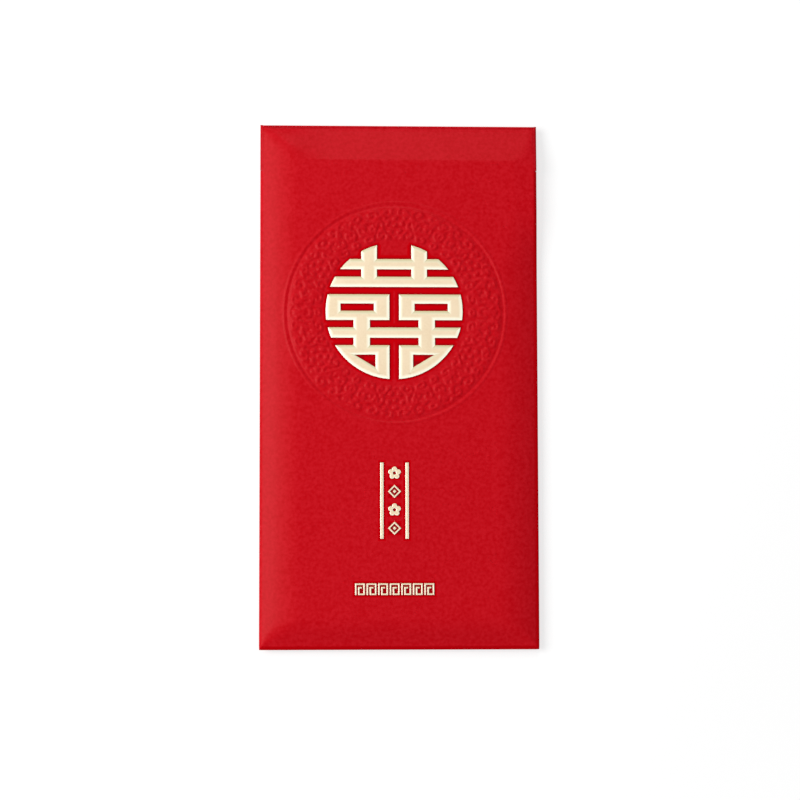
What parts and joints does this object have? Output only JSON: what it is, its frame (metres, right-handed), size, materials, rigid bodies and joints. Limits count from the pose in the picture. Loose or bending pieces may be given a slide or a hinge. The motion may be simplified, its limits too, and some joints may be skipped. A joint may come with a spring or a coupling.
{
  "type": "red envelope",
  "caption": "Red paper gift packet with a folding back flap, a plumped pocket, an embossed ring and gold foil ornament on its front.",
  "frame": {"origin": "on the resting plane, under the middle of the packet's outline, with the packet on its back", "axes": "+X across the width, +Y towards the top fold, +Z out of the printed front"},
  "size_m": [0.09, 0.17, 0.0067],
  "materials": {
    "red_card": "satin",
    "gold_foil": "hot-stamped pale gold foil over embossed card",
    "seam_glue": "matte"
  },
  "bodies": {
    "packet": {"front_panel": "red_card", "back_panel": "red_card", "left_fold": "red_card", "right_fold": "red_card", "bottom_fold": "red_card", "side_tab": "red_card", "bottom_flap": "red_card", "roundel_top_foil": "gold_foil", "roundel_base_foil": "gold_foil", "column_rules_foil": "gold_foil", "blossom_foil": "gold_foil", "lozenge_foil": "gold_foil", "fret_foil": "gold_foil", "side_seam_glue": "seam_glue", "bottom_seam_glue": "seam_glue"},
    "flap": {"closing_flap": "red_card"}
  },
  "joints": [
    {"name": "flap_fold", "type": "hinge", "parent": "packet", "child": "flap", "pos_m": [0, 0.0845, 0.00336], "axis": [1, 0, 0], "range_deg": [0, 180]}
  ]
}
